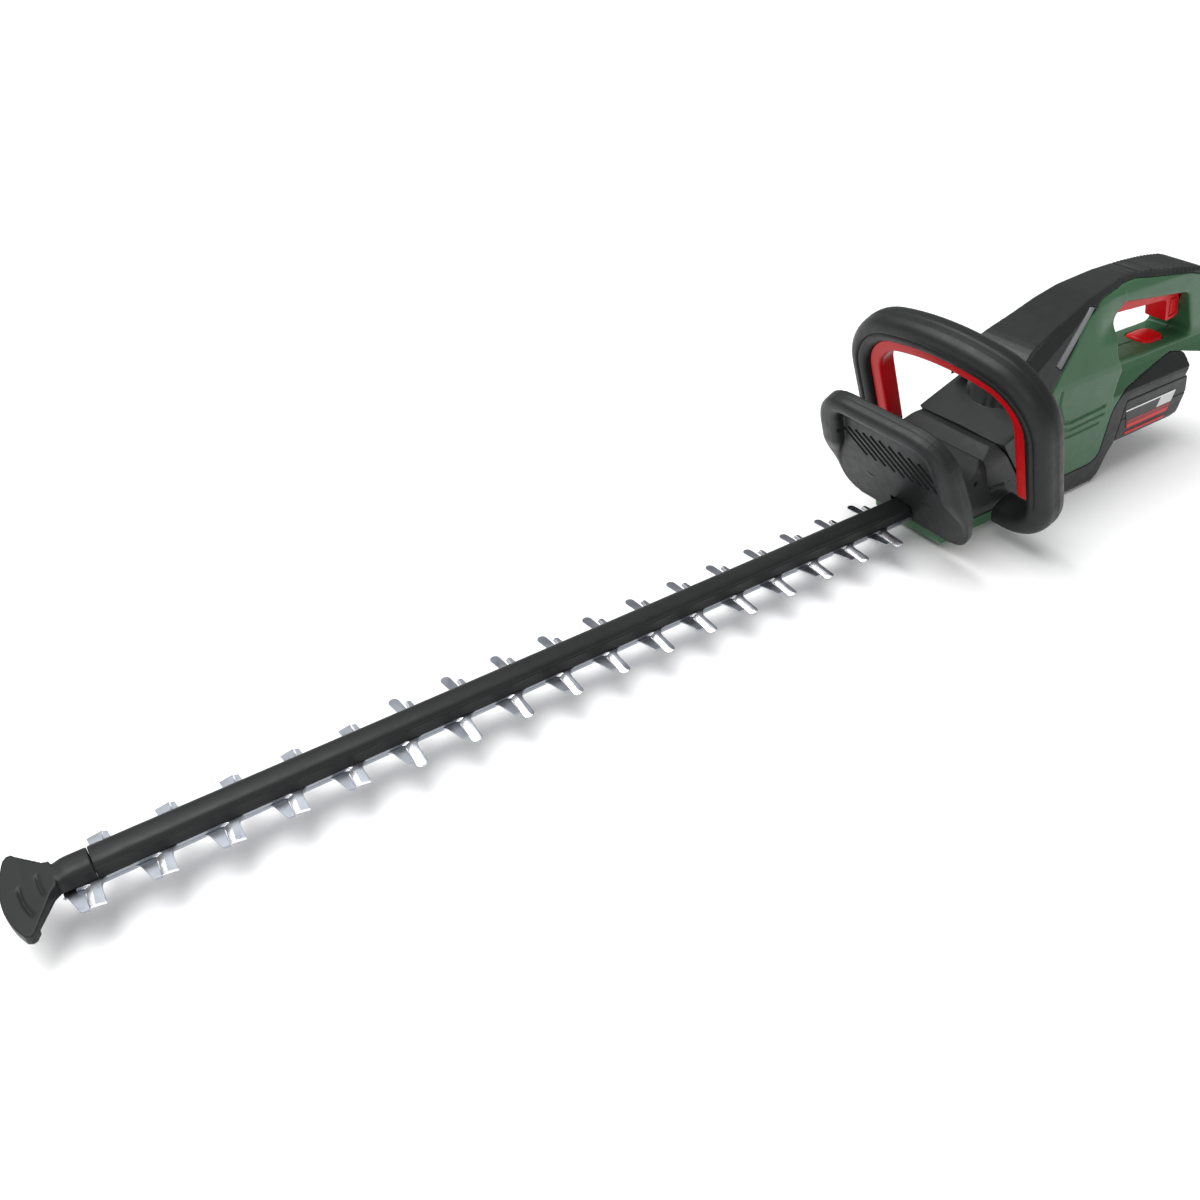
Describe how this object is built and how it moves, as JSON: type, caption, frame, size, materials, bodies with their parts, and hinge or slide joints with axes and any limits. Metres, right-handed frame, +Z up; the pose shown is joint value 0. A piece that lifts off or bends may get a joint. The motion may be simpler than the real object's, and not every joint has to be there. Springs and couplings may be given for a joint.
{
  "type": "cordless hedge trimmer",
  "caption": "Cordless hedge trimmer with a double reciprocating toothed blade, a leaning front loop handle, a D-shaped rear handle and a slide-in battery.",
  "frame": {"origin": "middle of the bounding box at floor level, under the machine as it stands on its underside", "axes": "+X from the blade tip to the rear handle, +Z up, +Y across the machine"},
  "size_m": [1.054, 0.195, 0.1867],
  "materials": {
    "blade_steel": "satin",
    "bar_steel": "satin",
    "bolt_steel": "satin",
    "black_plastic": "fine texture",
    "tube_plastic": "fine texture",
    "dark_grey_plastic": "fine texture",
    "cover_plastic": "fine texture",
    "green_plastic": "semi-matt",
    "red_plastic": "glossy",
    "grip_rubber": "matt",
    "gear_steel": "machined",
    "bearing_steel": "polished",
    "motor_iron": "laminated",
    "winding_copper": "enamelled",
    "fan_plastic": "smooth",
    "cast_aluminium": "cast",
    "spring_steel": "drawn",
    "switch_plastic": "smooth",
    "board": "lacquered",
    "contact_brass": "bright",
    "cell_wrap": "shrink film",
    "battery_plastic": "fine texture",
    "label_film": "printed film",
    "trim_red": "glossy",
    "vent_plastic": "smooth"
  },
  "bodies": {
    "machine": {"guide_bar": "bar_steel", "blade_bolts": "bolt_steel", "blade_nuts": "bolt_steel", "bar_cover": "black_plastic", "tip_guard": "black_plastic", "gear_bearings": "bearing_steel", "motor_stator": "motor_iron", "stator_windings": "winding_copper", "motor_bearings": "bearing_steel", "motor_can": "cast_aluminium", "gearbox_base": "green_plastic", "gearbox_case": "dark_grey_plastic", "bearing_plate": "cast_aluminium", "motor_cowl": "dark_grey_plastic", "hand_guard": "black_plastic", "guard_screws": "bolt_steel", "loop_front_shell": "tube_plastic", "loop_rear_shell": "tube_plastic", "loop_springs": "spring_steel", "loop_switches": "switch_plastic", "top_cover": "cover_plastic", "vent_grilles": "vent_plastic", "shell_left": "green_plastic", "shell_right": "green_plastic", "grip_rubber": "grip_rubber", "dock_left": "black_plastic", "dock_right": "black_plastic", "trigger_spring": "spring_steel", "trigger_switch": "switch_plastic", "button_spring": "spring_steel", "controller_board": "board", "terminal_block": "contact_brass", "housing_screws": "bolt_steel"},
    "upper_blade": {"blade_upper": "blade_steel"},
    "lower_blade": {"blade_lower": "blade_steel"},
    "crank": {"drive_gear": "gear_steel", "crank_disc": "gear_steel", "gear_shaft": "gear_steel"},
    "rotor": {"motor_pinion": "gear_steel", "motor_shaft": "gear_steel", "motor_rotor": "motor_iron", "cooling_fan": "fan_plastic"},
    "switch_bar": {"loop_switch_bar": "red_plastic"},
    "trigger": {"trigger": "red_plastic"},
    "lock_button": {"lock_button": "red_plastic"},
    "battery": {"battery_case": "battery_plastic", "battery_lid": "battery_plastic", "battery_cells": "cell_wrap", "battery_contacts": "contact_brass", "battery_labels": "label_film", "battery_trim": "trim_red", "release_spring": "spring_steel"},
    "release": {"battery_release": "switch_plastic"}
  },
  "joints": [
    {"name": "upper_blade_slide", "type": "slide", "parent": "machine", "child": "upper_blade", "axis": [1, 0, 0], "range_m": [-0.003, 0.013]},
    {"name": "lower_blade_slide", "type": "slide", "parent": "machine", "child": "lower_blade", "axis": [1, 0, 0], "range_m": [-0.013, 0.003]},
    {"name": "crank_spin", "type": "hinge", "parent": "machine", "child": "crank", "pos_m": [0.223, 0, 0.04], "axis": [0, 0, 1], "continuous": true},
    {"name": "rotor_spin", "type": "hinge", "parent": "machine", "child": "rotor", "pos_m": [0.2605, 0, 0.08], "axis": [0, 0, 1], "continuous": true},
    {"name": "switch_bar_press", "type": "slide", "parent": "machine", "child": "switch_bar", "axis": [-0.3907, 0, 0.9205], "range_m": [0, 0.003], "stiffness_N_per_m": 500, "springref_m": -0.004, "deforming": ["loop_springs"]},
    {"name": "trigger_press", "type": "slide", "parent": "machine", "child": "trigger", "axis": [0, 0, 1], "range_m": [0, 0.004], "stiffness_N_per_m": 400, "springref_m": -0.003, "deforming": ["trigger_spring"]},
    {"name": "lock_button_press", "type": "slide", "parent": "machine", "child": "lock_button", "axis": [0, 0, -1], "range_m": [0, 0.003], "stiffness_N_per_m": 300, "springref_m": -0.004, "deforming": ["button_spring"]},
    {"name": "battery_slide", "type": "slide", "parent": "machine", "child": "battery", "axis": [1, 0, 0], "range_m": [0, 0.09]},
    {"name": "release_press", "type": "slide", "parent": "battery", "child": "release", "axis": [0, 0, -1], "range_m": [0, 0.0015], "stiffness_N_per_m": 300, "springref_m": -0.002, "deforming": ["release_spring"]}
  ],
  "couplings": [
    {"joint": "lower_blade_slide", "follows": "upper_blade_slide", "ratio": -1},
    {"joint": "rotor_spin", "follows": "crank_spin", "ratio": -4}
  ]
}
